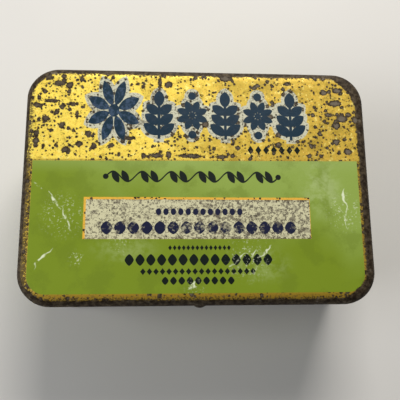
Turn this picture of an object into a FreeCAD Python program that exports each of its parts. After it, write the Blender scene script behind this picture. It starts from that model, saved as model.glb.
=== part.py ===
"""Hinged-lid spice tin: a shallow rectangular box of printed tinplate with rounded corners.

The tin is made of the pieces a can maker would assemble:
  lid_shell        drawn cover with a flat panel, a skirt and a hem turned in at its lower edge
  body_wall        strip bent into a tube, joined by a lock side seam, with a curled rim
  bottom_end       stamped end, held by a double seam that is also the foot of the tin
  side_seam_solder the solder line along the inside of the lock seam
  two butt hinges  at the rear, each of a lid leaf, a body leaf, their solder and a headed pin

Frame: millimetres, X along the length, +Y towards the hinges, +Z up through the lid.
The origin is the centre of the lid's outline, on the plane the bottom seam rests on.
"""
import FreeCAD, Part
import math
import os
import Sketcher

V = FreeCAD.Vector

# Driving dimensions in millimetres; the last four are angles in degrees.
DIMENSIONS = {
    "lid_length": 86.0,
    "lid_width": 59.4,
    "corner_radius": 8.0,
    "tin_height": 32.0,
    "sheet": 0.25,             # tinplate
    "fold_gap": 0.05,          # air between two folded layers
    "lid_bend": 2.5,           # outside radius between the lid's panel and its skirt
    "skirt_height": 7.5,
    "hem_height": 2.0,
    "lid_clearance": 0.5,      # between the hem and the body wall, on each side
    "panel_margin": 6.0,       # width of the swept border around a flat panel
    "panel_lap": 0.5,          # how far a flat panel runs into that border
    "rim_drop": 0.6,           # from the top of the lid down to the top of the body's rim
    "rim_curl": 0.7,           # outside radius of the body's rim
    "seam_height": 2.9,
    "seam_bend": 0.45,         # middle-line radius of the two lower bends of the seam
    "body_hook": 1.3,
    "end_hook": 1.5,
    "end_depth": 2.6,          # from the foot up to the border of the bottom panel
    "end_bend": 0.8,
    "step_bend": 0.85,         # bends of the raised step in the bottom panel
    "step_inset": 2.5,         # from the side of the recess to that step
    "lock_width": 3.2,         # the lock side seam
    "lock_depth": 0.5,
    "lock_groove": 0.08,
    "lock_groove_width": 0.3,
    "lock_rise": 1.0,          # from the top of the bottom seam up to the lock seam's fold
    "lock_drop": 2.1,          # from the top of the body's rim down to that fold
    "solder_leg": 0.45,        # beside the lock seam
    "leaf_solder": 0.24,       # along the free edge of a hinge leaf
    "nib_width": 2.8,          # snap nib pressed out of the lid's front skirt
    "nib_height": 0.5,
    "catch_width": 2.2,        # smaller nib on the body, which the lid's nib drops over
    "catch_height": 0.2,
    "nib_drop": 3.8,           # from the top of the lid down to both nibs
    "hinge_spacing": 44.0,
    "leaf_width": 14.0,
    "leaf_height": 4.6,
    "leaf_bend": 0.4,
    "knuckle_width": 5.0,      # the body leaf's knuckle, between the lid leaf's two
    "knuckle_gap": 0.15,
    "pin_radius": 0.45,
    "pin_clearance": 0.05,
    "pin_head_radius": 0.7,
    "pin_head": 0.35,
    "hinge_drop": 0.65,        # from the skirt's lower edge down to the hinge axis
    "overcut": 1.0,            # how far a cutting box runs past the piece it cuts
    "curl_turn": 250.0,
    "step_turn": 45.0,
    "lid_knuckle_turn": 265.0,
    "body_knuckle_turn": 250.0,
}

# Sizes worked out from the driving ones, as expressions on the sheet.
LAYER = "(dims.sheet + dims.fold_gap)"
INSET = "(2 * dims.sheet + dims.fold_gap + dims.lid_clearance)"
BODY_X = f"(dims.lid_length / 2 - {INSET})"
BODY_Y = f"(dims.lid_width / 2 - {INSET})"
SKIRT_EDGE = "(dims.tin_height - dims.skirt_height)"
RIM_TOP = "(dims.tin_height - dims.rim_drop)"
KNUCKLE = "(dims.pin_radius + dims.pin_clearance + dims.sheet / 2)"
KNUCKLE_OUTSIDE = "(dims.pin_radius + dims.pin_clearance + dims.sheet)"
HINGE_Y = f"(dims.lid_width / 2 + {KNUCKLE_OUTSIDE})"
HINGE_Z = f"({SKIRT_EDGE} - dims.hinge_drop)"
NIB_Z = "(dims.tin_height - dims.nib_drop)"
LOCK_LOW = "(dims.seam_height + dims.lock_rise)"
LOCK_HIGH = f"({RIM_TOP} - dims.lock_drop)"
STEP_ACROSS = "(2 * dims.step_bend * sin(dims.step_turn * 1 deg))"
STEP_UP = "(2 * dims.step_bend * (1 - cos(dims.step_turn * 1 deg)))"

# A section drawn across the +X side, and one drawn across the rear side.
ACROSS_SIDE = FreeCAD.Rotation(V(1, 0, 0), 90)
ACROSS_REAR = FreeCAD.Rotation(V(1, 1, 1), 120)

doc = FreeCAD.newDocument("SpiceTin")
dims = doc.addObject("Spreadsheet::Sheet", "dims")
for row, (alias, size) in enumerate(DIMENSIONS.items(), start=1):
    dims.set(f"A{row}", alias)
    dims.set(f"B{row}", str(size))
    dims.setAlias(f"B{row}", alias)
doc.recompute()


def add(kind, name, label=None, **expressions):
    """Add an object and bind its properties; a double underscore stands for a dot."""
    made = doc.addObject(kind, name)
    made.Label = label or name
    for key, expression in expressions.items():
        made.setExpression(key.replace("__", "."), expression)
    return made


def bind(sketch, constraint, expression):
    """Add a constraint to a sketch and bind its value."""
    sketch.setExpression(f"Constraints[{sketch.addConstraint(constraint)}]", expression)


def value(sketch, expression):
    """The present value of an expression, for a first position that the sketch then keeps."""
    return float(sketch.evalExpression(expression))


def rounded_rectangle(name, inset):
    """The lid's outline, moved in by inset: four lines and four tangent corner arcs."""
    sketch = add("Sketcher::SketchObject", name)
    half_x, half_y, radius = (f"{size} - {inset}" for size in
                              ("dims.lid_length / 2", "dims.lid_width / 2", "dims.corner_radius"))
    x, y, r = (value(sketch, size) for size in (half_x, half_y, radius))
    corners = [(x - r, y - r), (r - x, y - r), (r - x, r - y), (x - r, r - y)]
    sides = [((x - r, y), (r - x, y)), ((-x, y - r), (-x, r - y)),
             ((r - x, -y), (x - r, -y)), ((x, r - y), (x, y - r))]
    for quarter, ((cx, cy), (start, end)) in enumerate(zip(corners, sides)):
        circle = Part.Circle(V(cx, cy, 0), V(0, 0, 1), r)
        angle = quarter * math.pi / 2
        sketch.addGeometry(Part.ArcOfCircle(circle, angle, angle + math.pi / 2), False)
        sketch.addGeometry(Part.LineSegment(V(*start, 0), V(*end, 0)), False)
    for arc in range(0, 8, 2):
        sketch.addConstraint(Sketcher.Constraint("Tangent", arc, 2, arc + 1, 1))
        sketch.addConstraint(Sketcher.Constraint("Tangent", arc + 1, 2, (arc + 2) % 8, 1))
    for arc in (2, 4, 6):
        sketch.addConstraint(Sketcher.Constraint("Equal", 0, arc))
    sketch.addConstraint(Sketcher.Constraint("Horizontal", 1))
    sketch.addConstraint(Sketcher.Constraint("Vertical", 3))
    sketch.addConstraint(Sketcher.Constraint("Symmetric", 1, 1, 5, 1, -1, 1))
    bind(sketch, Sketcher.Constraint("Radius", 0, r), radius)
    bind(sketch, Sketcher.Constraint("DistanceX", -1, 1, 7, 1, x), half_x)
    bind(sketch, Sketcher.Constraint("DistanceY", -1, 1, 1, 1, y), half_y)
    return sketch


def folded_sheet(name, rotation, start, heading, moves):
    """The face of a folded strip of tinplate, drawn from the middle line of the sheet.

    start is the middle line's first point (outwards, up) and heading its first direction
    in degrees.  A move is ("run", length) or ("bend", radius, turn), a turn to the left
    being positive; a turn is a number of degrees or the name of an angle in the sheet.
    """
    sketch = add("Sketcher::SketchObject", name + "_line")
    sketch.Placement.Rotation = rotation
    if rotation is ACROSS_SIDE:
        sketch.setExpression("Placement.Base.y", "dims.lid_width / 2 - dims.corner_radius")
    at = V(value(sketch, start[0]), value(sketch, start[1]), 0)
    first_direction = "Horizontal" if heading % 180 == 0 else "Vertical"
    leaves = None
    for index, (kind, size, *turn) in enumerate(moves):
        length = value(sketch, size)
        along = V(math.cos(math.radians(heading)), math.sin(math.radians(heading)), 0)
        if kind == "run":
            end = at + along * length
            sketch.addGeometry(Part.LineSegment(at, end), False)
            bound = Sketcher.Constraint("Distance", index, length)
            enters, exits = 1, 2
        else:
            angle = DIMENSIONS[turn[0].lstrip("-")] if isinstance(turn[0], str) else abs(turn[0])
            side = -1 if str(turn[0]).startswith("-") else 1
            centre = at + V(-along.y, along.x, 0) * (side * length)
            begin = math.radians(heading - side * 90)
            sweep = math.radians(angle) * side
            circle = Part.Circle(centre, V(0, 0, 1), length)
            first, last = sorted((begin, begin + sweep))
            sketch.addGeometry(Part.ArcOfCircle(circle, first, last), False)
            end = centre + V(math.cos(begin + sweep), math.sin(begin + sweep), 0) * length
            bound = Sketcher.Constraint("Radius", index, length)
            enters, exits = (1, 2) if side > 0 else (2, 1)
            heading += side * angle
        if leaves is None:
            sketch.addConstraint(Sketcher.Constraint(first_direction, index))
            bind(sketch, Sketcher.Constraint("DistanceX", -1, 1, index, enters, at.x), start[0])
            bind(sketch, Sketcher.Constraint("DistanceY", -1, 1, index, enters, at.y), start[1])
        else:
            sketch.addConstraint(Sketcher.Constraint("Tangent", index - 1, leaves, index, enters))
        bind(sketch, bound, size)
        if kind == "bend":
            span = Sketcher.Constraint("Angle", index, math.radians(angle))
            turned = f"dims.{turn[0].lstrip('-')}" if isinstance(turn[0], str) else str(angle)
            bind(sketch, span, f"{turned} * 1 deg")
        at, leaves = end, exits
    face = add("Part::Offset2D", name, Value="dims.sheet / 2")
    face.Source = sketch
    face.Mode = "Pipe"
    face.Fill = True
    return face


def around_the_tin(name, face):
    """Sweep a section all the way round the tin."""
    ring = add("Part::Sweep", name)
    ring.Sections = [face]
    ring.Spine = (path, [f"Edge{edge}" for edge in range(1, 9)])
    ring.Solid = True
    return ring


def flat_panel(name, inset, z_low):
    """A flat sheet that fills the border swept around it."""
    panel = add("Part::Extrusion", name, LengthFwd="dims.sheet",
                Placement__Base__z=z_low)
    panel.Base = rounded_rectangle(name + "_outline", inset)
    panel.DirMode = "Custom"
    panel.Dir = V(0, 0, 1)
    panel.Solid = True
    return panel


def box(name, low, high):
    """A box between two corners, each given as three expressions."""
    sides = {side: f"({b}) - ({a})"
             for side, a, b in zip(("Length", "Width", "Height"), low, high)}
    corner = {f"Placement__Base__{axis}": a for axis, a in zip("xyz", low)}
    return add("Part::Box", name, **sides, **corner)


def nib(name, face_y, width, height):
    """The outside and the inside of a round nib pressed forwards out of a front wall."""
    radius = f"((({width} / 2) ^ 2 + {height} ^ 2) / (2 * {height}))"
    middle = f"(-{face_y} - {height} + {radius})"
    outside = add("Part::Sphere", name + "_outside", Radius=radius,
                  Angle1=f"asin(({radius} - {height} - dims.sheet / 2) / {radius})",
                  Placement__Base__y=middle, Placement__Base__z=NIB_Z)
    outside.Placement.Rotation = FreeCAD.Rotation(V(1, 0, 0), 90)
    inside = add("Part::Sphere", name + "_inside", Radius=f"{radius} - dims.sheet",
                 Placement__Base__y=middle, Placement__Base__z=NIB_Z)
    return outside, inside


def fused(name, *pieces, label=None):
    """One solid of several pieces, with the seams between coplanar faces removed."""
    made = add("Part::MultiFuse", name, label)
    made.Shapes = list(pieces)
    made.Refine = True
    return made


def cut(name, base, tool, label=None):
    """The base with the tool taken away."""
    made = add("Part::Cut", name, label)
    made.Base = base
    made.Tool = tool
    return made


def lid():
    """Drawn cover: panel, bend, skirt, hem turned in, and the snap nib at the front."""
    section = folded_sheet(
        "lid_section", ACROSS_SIDE,
        ("dims.lid_length / 2 - dims.panel_margin", "dims.tin_height - dims.sheet / 2"), 0,
        [("run", "dims.panel_margin - dims.lid_bend"),
         ("bend", "dims.lid_bend - dims.sheet / 2", -90),
         ("run", f"dims.skirt_height - dims.lid_bend - dims.sheet / 2 - {LAYER} / 2"),
         ("bend", f"{LAYER} / 2", -180),
         ("run", "dims.hem_height - dims.sheet")])
    border = around_the_tin("lid_border", section)
    panel = flat_panel("lid_panel", "(dims.panel_margin - dims.panel_lap)",
                       "dims.tin_height - dims.sheet")
    outside, inside = nib("lid_nib", "dims.lid_width / 2", "dims.nib_width", "dims.nib_height")
    cut("lid_shell", fused("lid_formed", border, panel, outside), inside)


def body():
    """Tube with a curled rim, a lock side seam at the rear and a hook for the bottom seam."""
    section = folded_sheet(
        "body_section", ACROSS_SIDE,
        (f"{BODY_X} + 2 * {LAYER} - dims.sheet / 2",
         f"dims.sheet / 2 + 2 * {LAYER} + dims.body_hook"), 270,
        [("run", "dims.body_hook"),
         ("bend", LAYER, -180),
         ("run", f"{RIM_TOP} - dims.rim_curl - dims.sheet / 2 - 2 * {LAYER}"),
         ("bend", "dims.rim_curl - dims.sheet / 2", "curl_turn")])
    tube = around_the_tin("body_tube", section)
    half_lock = "dims.lock_width / 2"
    fold = box("lock_fold",
               (f"-{half_lock}", f"{BODY_Y} - dims.sheet - dims.lock_depth", LOCK_LOW),
               (half_lock, f"{BODY_Y} - dims.sheet / 2", LOCK_HIGH))
    groove = box("lock_groove_cut",
                 (half_lock, f"{BODY_Y} - dims.lock_groove", LOCK_LOW),
                 (f"{half_lock} + dims.lock_groove_width", f"{BODY_Y} + dims.overcut", LOCK_HIGH))
    outside, inside = nib("body_nib", BODY_Y, "dims.catch_width", "dims.catch_height")
    formed = fused("body_formed", tube, fold, outside)
    cut("body_wall", cut("body_dimpled", formed, inside), groove)


def solder_line(name, rotation, corner, legs, length):
    """A three-cornered line of solder: its right angle is at corner, and a leg may be negative."""
    sketch = add("Sketcher::SketchObject", name + "_section")
    sketch.Placement.Rotation = rotation
    x, y, across, up = (value(sketch, size) for size in (*corner, *legs))
    corners = [V(x, y, 0), V(x + across, y, 0), V(x, y + up, 0)]
    for start, end in zip(corners, corners[1:] + corners[:1]):
        sketch.addGeometry(Part.LineSegment(start, end), False)
    for side in range(3):
        sketch.addConstraint(Sketcher.Constraint("Coincident", side, 2, (side + 1) % 3, 1))
    sketch.addConstraint(Sketcher.Constraint("Horizontal", 0))
    sketch.addConstraint(Sketcher.Constraint("Vertical", 2))
    bind(sketch, Sketcher.Constraint("DistanceX", -1, 1, 0, 1, x), corner[0])
    bind(sketch, Sketcher.Constraint("DistanceY", -1, 1, 0, 1, y), corner[1])
    bind(sketch, Sketcher.Constraint("DistanceX", 0, 1, 0, 2, across), legs[0])
    bind(sketch, Sketcher.Constraint("DistanceY", 0, 1, 1, 2, up), legs[1])
    line = add("Part::Extrusion", name, LengthFwd=length)
    line.Base = sketch
    line.DirMode = "Normal"
    line.Solid = True
    return line


def side_seam_solder():
    """Solder in the inner angle beside the lock seam's fold, as tall as the fold."""
    line = solder_line("side_seam_solder", FreeCAD.Rotation(),
                       ("-dims.lock_width / 2", f"{BODY_Y} - dims.sheet"),
                       ("-dims.solder_leg", "-dims.solder_leg"),
                       f"{LOCK_HIGH} - {LOCK_LOW}")
    line.setExpression("Placement.Base.z", LOCK_LOW)


def bottom():
    """Stamped end: stepped panel in a recess, and the outer half of the double seam."""
    section = folded_sheet(
        "end_section", ACROSS_SIDE,
        (f"{BODY_X} - dims.sheet / 2 - {LAYER} - dims.end_bend - dims.step_inset"
         f" - {STEP_ACROSS} - dims.step_bend",
         f"dims.end_depth + {STEP_UP}"), 0,
        [("run", "dims.step_bend"),
         ("bend", "dims.step_bend", "-step_turn"),
         ("bend", "dims.step_bend", "step_turn"),
         ("run", "dims.step_inset"),
         ("bend", "dims.end_bend", -90),
         ("run", "dims.end_depth - dims.end_bend - dims.sheet / 2 - dims.seam_bend"),
         ("bend", "dims.seam_bend", 90),
         ("run", f"4 * {LAYER} - 2 * dims.seam_bend"),
         ("bend", "dims.seam_bend", 90),
         ("run", f"dims.seam_height - dims.sheet - dims.seam_bend - {LAYER}"),
         ("bend", LAYER, 180),
         ("run", "dims.end_hook")])
    border = around_the_tin("end_border", section)
    panel = flat_panel(
        "end_panel",
        f"({INSET} + dims.sheet / 2 + {LAYER} + dims.end_bend + dims.step_inset"
        f" + {STEP_ACROSS} + dims.step_bend - dims.panel_lap)",
        f"dims.end_depth + {STEP_UP} - dims.sheet / 2")
    fused("bottom_end", border, panel)


def strip_across(name, face, width):
    """A strip of folded sheet as long in X as width, centred on the middle of the tin."""
    strip = add("Part::Extrusion", name, LengthFwd=width)
    strip.Base = face
    strip.DirMode = "Custom"
    strip.Dir = V(1, 0, 0)
    strip.Symmetric = True
    strip.Solid = True
    return strip


def hinges():
    """Two butt hinges: the lid leaf's two knuckles turn outside the body leaf's one."""
    leaf_y = (f"{BODY_Y} - dims.overcut", f"{HINGE_Y} + dims.overcut")
    half_leaf, half_knuckle = "dims.leaf_width / 2", "dims.knuckle_width / 2"
    body_leaf_top = f"{HINGE_Z} - {KNUCKLE} - dims.leaf_bend - dims.sheet"
    body_leaf_foot = f"{HINGE_Z} - {KNUCKLE} - dims.leaf_bend - dims.leaf_height"
    lid_section = folded_sheet(
        "lid_leaf_section", ACROSS_REAR,
        ("dims.lid_width / 2 + dims.sheet / 2", f"{SKIRT_EDGE} + dims.leaf_height"), 270,
        [("run", "dims.leaf_height + dims.hinge_drop"),
         ("bend", KNUCKLE, "lid_knuckle_turn")])
    body_section = folded_sheet(
        "body_leaf_section", ACROSS_REAR,
        (f"{BODY_Y} + dims.sheet / 2", body_leaf_foot), 90,
        [("run", "dims.leaf_height"),
         ("bend", "dims.leaf_bend", -90),
         ("run", f"{HINGE_Y} - {BODY_Y} - dims.sheet / 2 - dims.leaf_bend"),
         ("bend", KNUCKLE, "body_knuckle_turn")])
    for side, sign in (("left", "-"), ("right", "")):
        centre = f"{sign}dims.hinge_spacing / 2"
        window = box(f"lid_leaf_window_{side}",
                     (f"-{half_knuckle} - dims.knuckle_gap", leaf_y[0],
                      f"{HINGE_Z} - dims.overcut"),
                     (f"{half_knuckle} + dims.knuckle_gap", leaf_y[1],
                      f"{SKIRT_EDGE} + dims.sheet"))
        strip = strip_across(f"lid_leaf_strip_{side}", lid_section, "dims.leaf_width")
        leaf = cut(f"lid_hinge_leaf_{side}", strip, window)
        leaf.setExpression("Placement.Base.x", centre)

        ends = [box(f"body_leaf_{end}_{side}", (low, leaf_y[0], body_leaf_top),
                    (high, leaf_y[1], f"{HINGE_Z} + dims.overcut"))
                for end, low, high in (
                    ("left_end", f"-{half_leaf} - dims.overcut", f"-{half_knuckle}"),
                    ("right_end", half_knuckle, f"{half_leaf} + dims.overcut"))]
        strip = strip_across(f"body_leaf_strip_{side}", body_section, "dims.leaf_width")
        leaf = cut(f"body_hinge_leaf_{side}", strip, fused(f"body_leaf_ends_{side}", *ends))
        leaf.setExpression("Placement.Base.x", centre)

        for name, corner, legs in (
                ("lid_hinge_solder", ("dims.lid_width / 2",
                                      f"{SKIRT_EDGE} + dims.leaf_height + dims.sheet / 2"),
                 ("dims.leaf_solder", "dims.leaf_solder")),
                ("body_hinge_solder", (BODY_Y, f"{body_leaf_foot} - dims.sheet / 2"),
                 ("dims.leaf_solder", "-2 * dims.leaf_solder"))):
            line = solder_line(f"{name}_{side}", ACROSS_REAR, corner, legs, "dims.leaf_width")
            line.Symmetric = True
            line.setExpression("Placement.Base.x", centre)
        hinge_pin(side, centre)


def hinge_pin(side, centre):
    """Turned pin with an upset head outside each lid knuckle."""
    pin = add("PartDesign::Body", f"hinge_pin_{side}", Placement__Base__x=centre,
              Placement__Base__y=HINGE_Y, Placement__Base__z=HINGE_Z)
    sketch = pin.newObject("Sketcher::SketchObject", f"pin_outline_{side}")
    plane = [origin for origin in pin.Origin.OriginFeatures if origin.Role == "XY_Plane"][0]
    sketch.AttachmentSupport = [(plane, "")]
    sketch.MapMode = "FlatFace"
    half_shank = "dims.leaf_width / 2 + dims.pin_clearance"
    neck = value(sketch, half_shank)
    tip = neck + value(sketch, "dims.pin_head")
    shank, head = value(sketch, "dims.pin_radius"), value(sketch, "dims.pin_head_radius")
    corners = [V(-tip, 0, 0), V(-tip, head, 0), V(-neck, head, 0), V(-neck, shank, 0),
               V(neck, shank, 0), V(neck, head, 0), V(tip, head, 0), V(tip, 0, 0)]
    for start, end in zip(corners, corners[1:] + corners[:1]):
        sketch.addGeometry(Part.LineSegment(start, end), False)
    for line in range(8):
        sketch.addConstraint(Sketcher.Constraint("Coincident", line, 2, (line + 1) % 8, 1))
        direction = "Vertical" if line in (0, 2, 4, 6) else "Horizontal"
        sketch.addConstraint(Sketcher.Constraint(direction, line))
    sketch.addConstraint(Sketcher.Constraint("PointOnObject", 0, 1, -1))
    sketch.addConstraint(Sketcher.Constraint("Equal", 1, 5))
    sketch.addConstraint(Sketcher.Constraint("Equal", 0, 6))
    bind(sketch, Sketcher.Constraint("DistanceX", 3, 1, -1, 1, neck), half_shank)
    bind(sketch, Sketcher.Constraint("DistanceX", -1, 1, 3, 2, neck), half_shank)
    bind(sketch, Sketcher.Constraint("Distance", 1, tip - neck), "dims.pin_head")
    bind(sketch, Sketcher.Constraint("Distance", 0, head), "dims.pin_head_radius")
    bind(sketch, Sketcher.Constraint("DistanceY", -1, 1, 3, 1, shank), "dims.pin_radius")
    turned = pin.newObject("PartDesign::Revolution", f"pin_turned_{side}")
    turned.Profile = sketch
    turned.ReferenceAxis = (sketch, ["H_Axis"])
    turned.Angle = 360
    pin.Tip = turned


path = rounded_rectangle("rim_path", "0")
lid()
body()
bottom()
side_seam_solder()
hinges()
doc.recompute()

for made in doc.Objects:
    if "Invalid" in made.State or "Error" in made.State:
        raise RuntimeError(f"{made.Label} did not compute: {made.State}")

NODES = ["lid_shell", "body_wall", "bottom_end", "side_seam_solder"] + [
    f"{piece}_{side}" for side in ("left", "right")
    for piece in ("lid_hinge_leaf", "lid_hinge_solder", "body_hinge_leaf",
                  "body_hinge_solder", "hinge_pin")]
os.makedirs("parts", exist_ok=True)
for label in NODES:
    piece = doc.getObjectsByLabel(label)[0]
    shape = piece.Shape
    if shape.isNull() or not shape.isValid() or len(shape.Solids) != 1:
        raise RuntimeError(f"{label} is not one valid solid")
    shape.exportStep(f"parts/{label}.step")
    limits = shape.optimalBoundingBox()
    print(f"{label:24s} volume {shape.Volume:9.3f} mm3   "
          f"x {limits.XMin:7.2f} {limits.XMax:7.2f}   y {limits.YMin:7.2f} {limits.YMax:7.2f}   "
          f"z {limits.ZMin:6.2f} {limits.ZMax:6.2f}")
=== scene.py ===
"""Looks of the hinged spice tin: sheet metal with dents, worn print, rust and solder."""
import math

import bpy
from mathutils import Matrix, Vector, noise


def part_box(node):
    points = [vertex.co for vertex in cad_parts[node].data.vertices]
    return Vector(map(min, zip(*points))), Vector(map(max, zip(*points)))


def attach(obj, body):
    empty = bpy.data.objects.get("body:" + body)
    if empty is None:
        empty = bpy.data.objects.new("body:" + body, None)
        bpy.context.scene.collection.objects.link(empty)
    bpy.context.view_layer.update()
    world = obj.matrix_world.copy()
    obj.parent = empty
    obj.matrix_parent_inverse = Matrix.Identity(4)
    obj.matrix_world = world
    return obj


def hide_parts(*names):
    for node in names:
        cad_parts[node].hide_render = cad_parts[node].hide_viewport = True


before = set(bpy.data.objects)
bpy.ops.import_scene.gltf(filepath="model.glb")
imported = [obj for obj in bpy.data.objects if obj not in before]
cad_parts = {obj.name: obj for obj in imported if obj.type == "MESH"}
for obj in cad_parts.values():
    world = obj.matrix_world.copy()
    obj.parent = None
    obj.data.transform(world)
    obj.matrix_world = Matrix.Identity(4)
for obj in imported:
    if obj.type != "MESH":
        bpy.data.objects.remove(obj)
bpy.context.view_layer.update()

# Sizes below are in millimetres, as on the tin's drawing; MM turns them into metres.
MM = 0.001
LID_LOW, LID_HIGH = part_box("lid_shell")
LEAF_LOW, LEAF_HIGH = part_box("lid_hinge_leaf_right")
HALF_LENGTH = LID_HIGH.x / MM
HALF_WIDTH = LID_HIGH.y / MM
TOP = LID_HIGH.z / MM
SKIRT_EDGE = LID_LOW.z / MM
RIM_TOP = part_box("body_wall")[1].z / MM
CORNER = 8.0
SHEET = 0.25
LAYER = SHEET + 0.05           # one layer of sheet and the air beside it

LID_BEND = 2.5
LID_HEM = 1.75                 # the straight part of the hem folded up inside the skirt
CLEARANCE = 0.5                # between the lid's hem and the body
BODY_INSET = SHEET + LAYER + CLEARANCE
HINGE_X = (LEAF_LOW.x + LEAF_HIGH.x) / 2 / MM
LEAF_HALF = 7.5                # half the width of a hinge leaf, and a little more
LEAF_ZONE = 5                  # how far in from the rear edge dents fade beside the leaves

RIM_CURL = 0.7                 # outer radius of the rim's curl, and how far round it goes
RIM_CURL_TURN = 250
WALL_HOOK = 1.3                # the wall's hook inside the bottom seam
LOCK_HALF = 1.6                # half the width of the lock seam's fold
LOCK_DEPTH = 0.5
GROOVE = 0.08                  # depth of the line beside the lock seam, seen outside
GROOVE_WIDTH = 0.3

SEAM_TOP = 2.9
SEAM_BEND = 0.45
SEAM_HOOK = 1.5                # the bottom end's hook inside the bottom seam
END_DEPTH = 2.6                # how far the bottom panel is recessed
END_BEND = 0.8                 # from its ledge down into the seam
END_LEDGE = 2.5                # the flat ledge round the bottom panel's raised step
STEP_BEND = 0.85               # radius of each half of the step's S bend

LOCK_LOW = SEAM_TOP + 1.0
LOCK_HIGH = RIM_TOP - 2.1
NIB_Z = TOP - 3.8
LID_NIB = {True: (1.4, 0.5), False: (1.25, 0.45)}      # half width and height, by on_left
CATCH_NIB = {True: (1.0, 0.18), False: (1.1, 0.2)}
CREASE = (33.7, -9.0)          # middle of the crease in the lid's panel, along y
CREASE_DEPTH = 0.18
CREASE_HALF_WIDTH = 0.55
CREASE_HALF_LENGTH = 6.0

PRINT_SCALE = 1.0167           # the artwork's drawing against the lid, and its offset on it
PRINT_SHIFT = (0.14, 0.5)
BAND_Z = 12.6                  # the side wall's green band: middle, half height, and its thin lines
BAND_HALF = 6.2
LINE_AT = 7.3
LINE_HALF = 0.2

SIDE_STEP = 1.3                # spacing of mesh points along a straight side
CORNER_STEPS = 18
RUN_STEP = 0.6                 # and across a sheet section, along its runs and round its bends
BEND_STEP = 18
NEAR = 0.01                    # how closely a mesh point is taken to lie on a line


# ---------------------------------------------------------------- sheet-metal shells
def side_stops(half, fine=()):
    """Places along one straight side, SIDE_STEP apart, with finer ones where they are needed."""
    count = round(2 * half / SIDE_STEP)
    coarse = [half * (2 * step / count - 1) for step in range(count)]
    clear = [stop for stop in coarse
             if not fine or stop < fine[0] - 0.4 or stop > fine[-1] + 0.4]
    return sorted([*clear, *fine])


def outline_columns():
    """Points of the lid's outline with their outward normals, anticlockwise from the front left."""
    nib_stops = [0.25 * step for step in range(-7, 8)]
    lock_stops = [-2.0, -1.7, -1.6, -1.0, 0.0, 1.0, 1.55, 1.6, 1.9, 1.95, 2.3]
    straight_x, straight_y = HALF_LENGTH - CORNER, HALF_WIDTH - CORNER
    sides = (((0, -1), (1, 0), side_stops(straight_x, nib_stops)),
             ((1, 0), (0, 1), side_stops(straight_y)),
             ((0, 1), (-1, 0), side_stops(straight_x, [-stop for stop in reversed(lock_stops)])),
             ((-1, 0), (0, -1), side_stops(straight_y)))
    columns = []
    for (normal_x, normal_y), (along_x, along_y), stops in sides:
        normal = Vector((normal_x, normal_y, 0))
        along = Vector((along_x, along_y, 0))
        half = HALF_LENGTH if normal_x else HALF_WIDTH
        columns += [(normal * half + along * stop, normal) for stop in stops]
        corner = Vector((straight_x * (normal_x + along_x), straight_y * (normal_y + along_y), 0))
        for step in range(CORNER_STEPS):
            angle = math.pi / 2 * step / CORNER_STEPS
            outwards = normal * math.cos(angle) + along * math.sin(angle)
            columns.append((corner + outwards * CORNER, outwards))
    return columns


COLUMNS = outline_columns()


def leftwards(heading):
    return Vector((-math.sin(heading), math.cos(heading)))


def folded(start, heading, moves):
    """The two faces of a folded sheet, as points (outwards, up) on its left and on its right.

    The moves follow its middle line from start. Each is ("run", length) or
    ("bend", radius, degrees), a bend to the left being positive.
    """
    at = Vector(start)
    heading = math.radians(heading)
    line = []

    def note():
        line.append((at.copy(), leftwards(heading)))

    note()
    for kind, size, *turn in moves:
        if kind == "run":
            steps = max(1, round(size / RUN_STEP))
            for _ in range(steps):
                at = at + Vector((math.cos(heading), math.sin(heading))) * (size / steps)
                note()
        else:
            steps = max(2, math.ceil(abs(turn[0]) / BEND_STEP))
            side = math.copysign(1.0, turn[0])
            centre = at + leftwards(heading) * (size * side)
            for _ in range(steps):
                heading += math.radians(turn[0]) / steps
                at = centre - leftwards(heading) * (size * side)
                note()
    half = SHEET / 2
    return [p + left * half for p, left in line], [p - left * half for p, left in line]


def clamped(value):
    return min(max(value, 0.0), 1.0)


def soft_noise(place):
    return 0.5 + 0.5 * noise.noise(place)


def keep_off_hinges(place):
    """1 away from the soldered hinge leaves, 0 on them."""
    if place.y < HALF_WIDTH - LEAF_ZONE:
        return 1.0
    beside = min(abs(place.x - HINGE_X), abs(place.x + HINGE_X)) - LEAF_HALF
    return clamped(beside / 4)


def dents(place, depth, size):
    """How far the metal is pushed in at a place: soft waves of about size, and sharper dings."""
    sharp = max(0.0, noise.noise(place / (size * 0.28) + Vector((40, 7, 3))) - 0.35) * 1.1
    return depth * min(0.55 * soft_noise(place / size) + sharp, 1.0) * keep_off_hinges(place)


def cap(place, half, height):
    """How far a round nib at the middle of the front stands out at a place."""
    reach = math.hypot(place.x, place.z - NIB_Z)
    if place.y > 0 or reach > half:
        return 0.0
    radius = (half ** 2 + height ** 2) / (2 * height)
    return math.sqrt(radius ** 2 - reach ** 2) - (radius - height)


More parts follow.
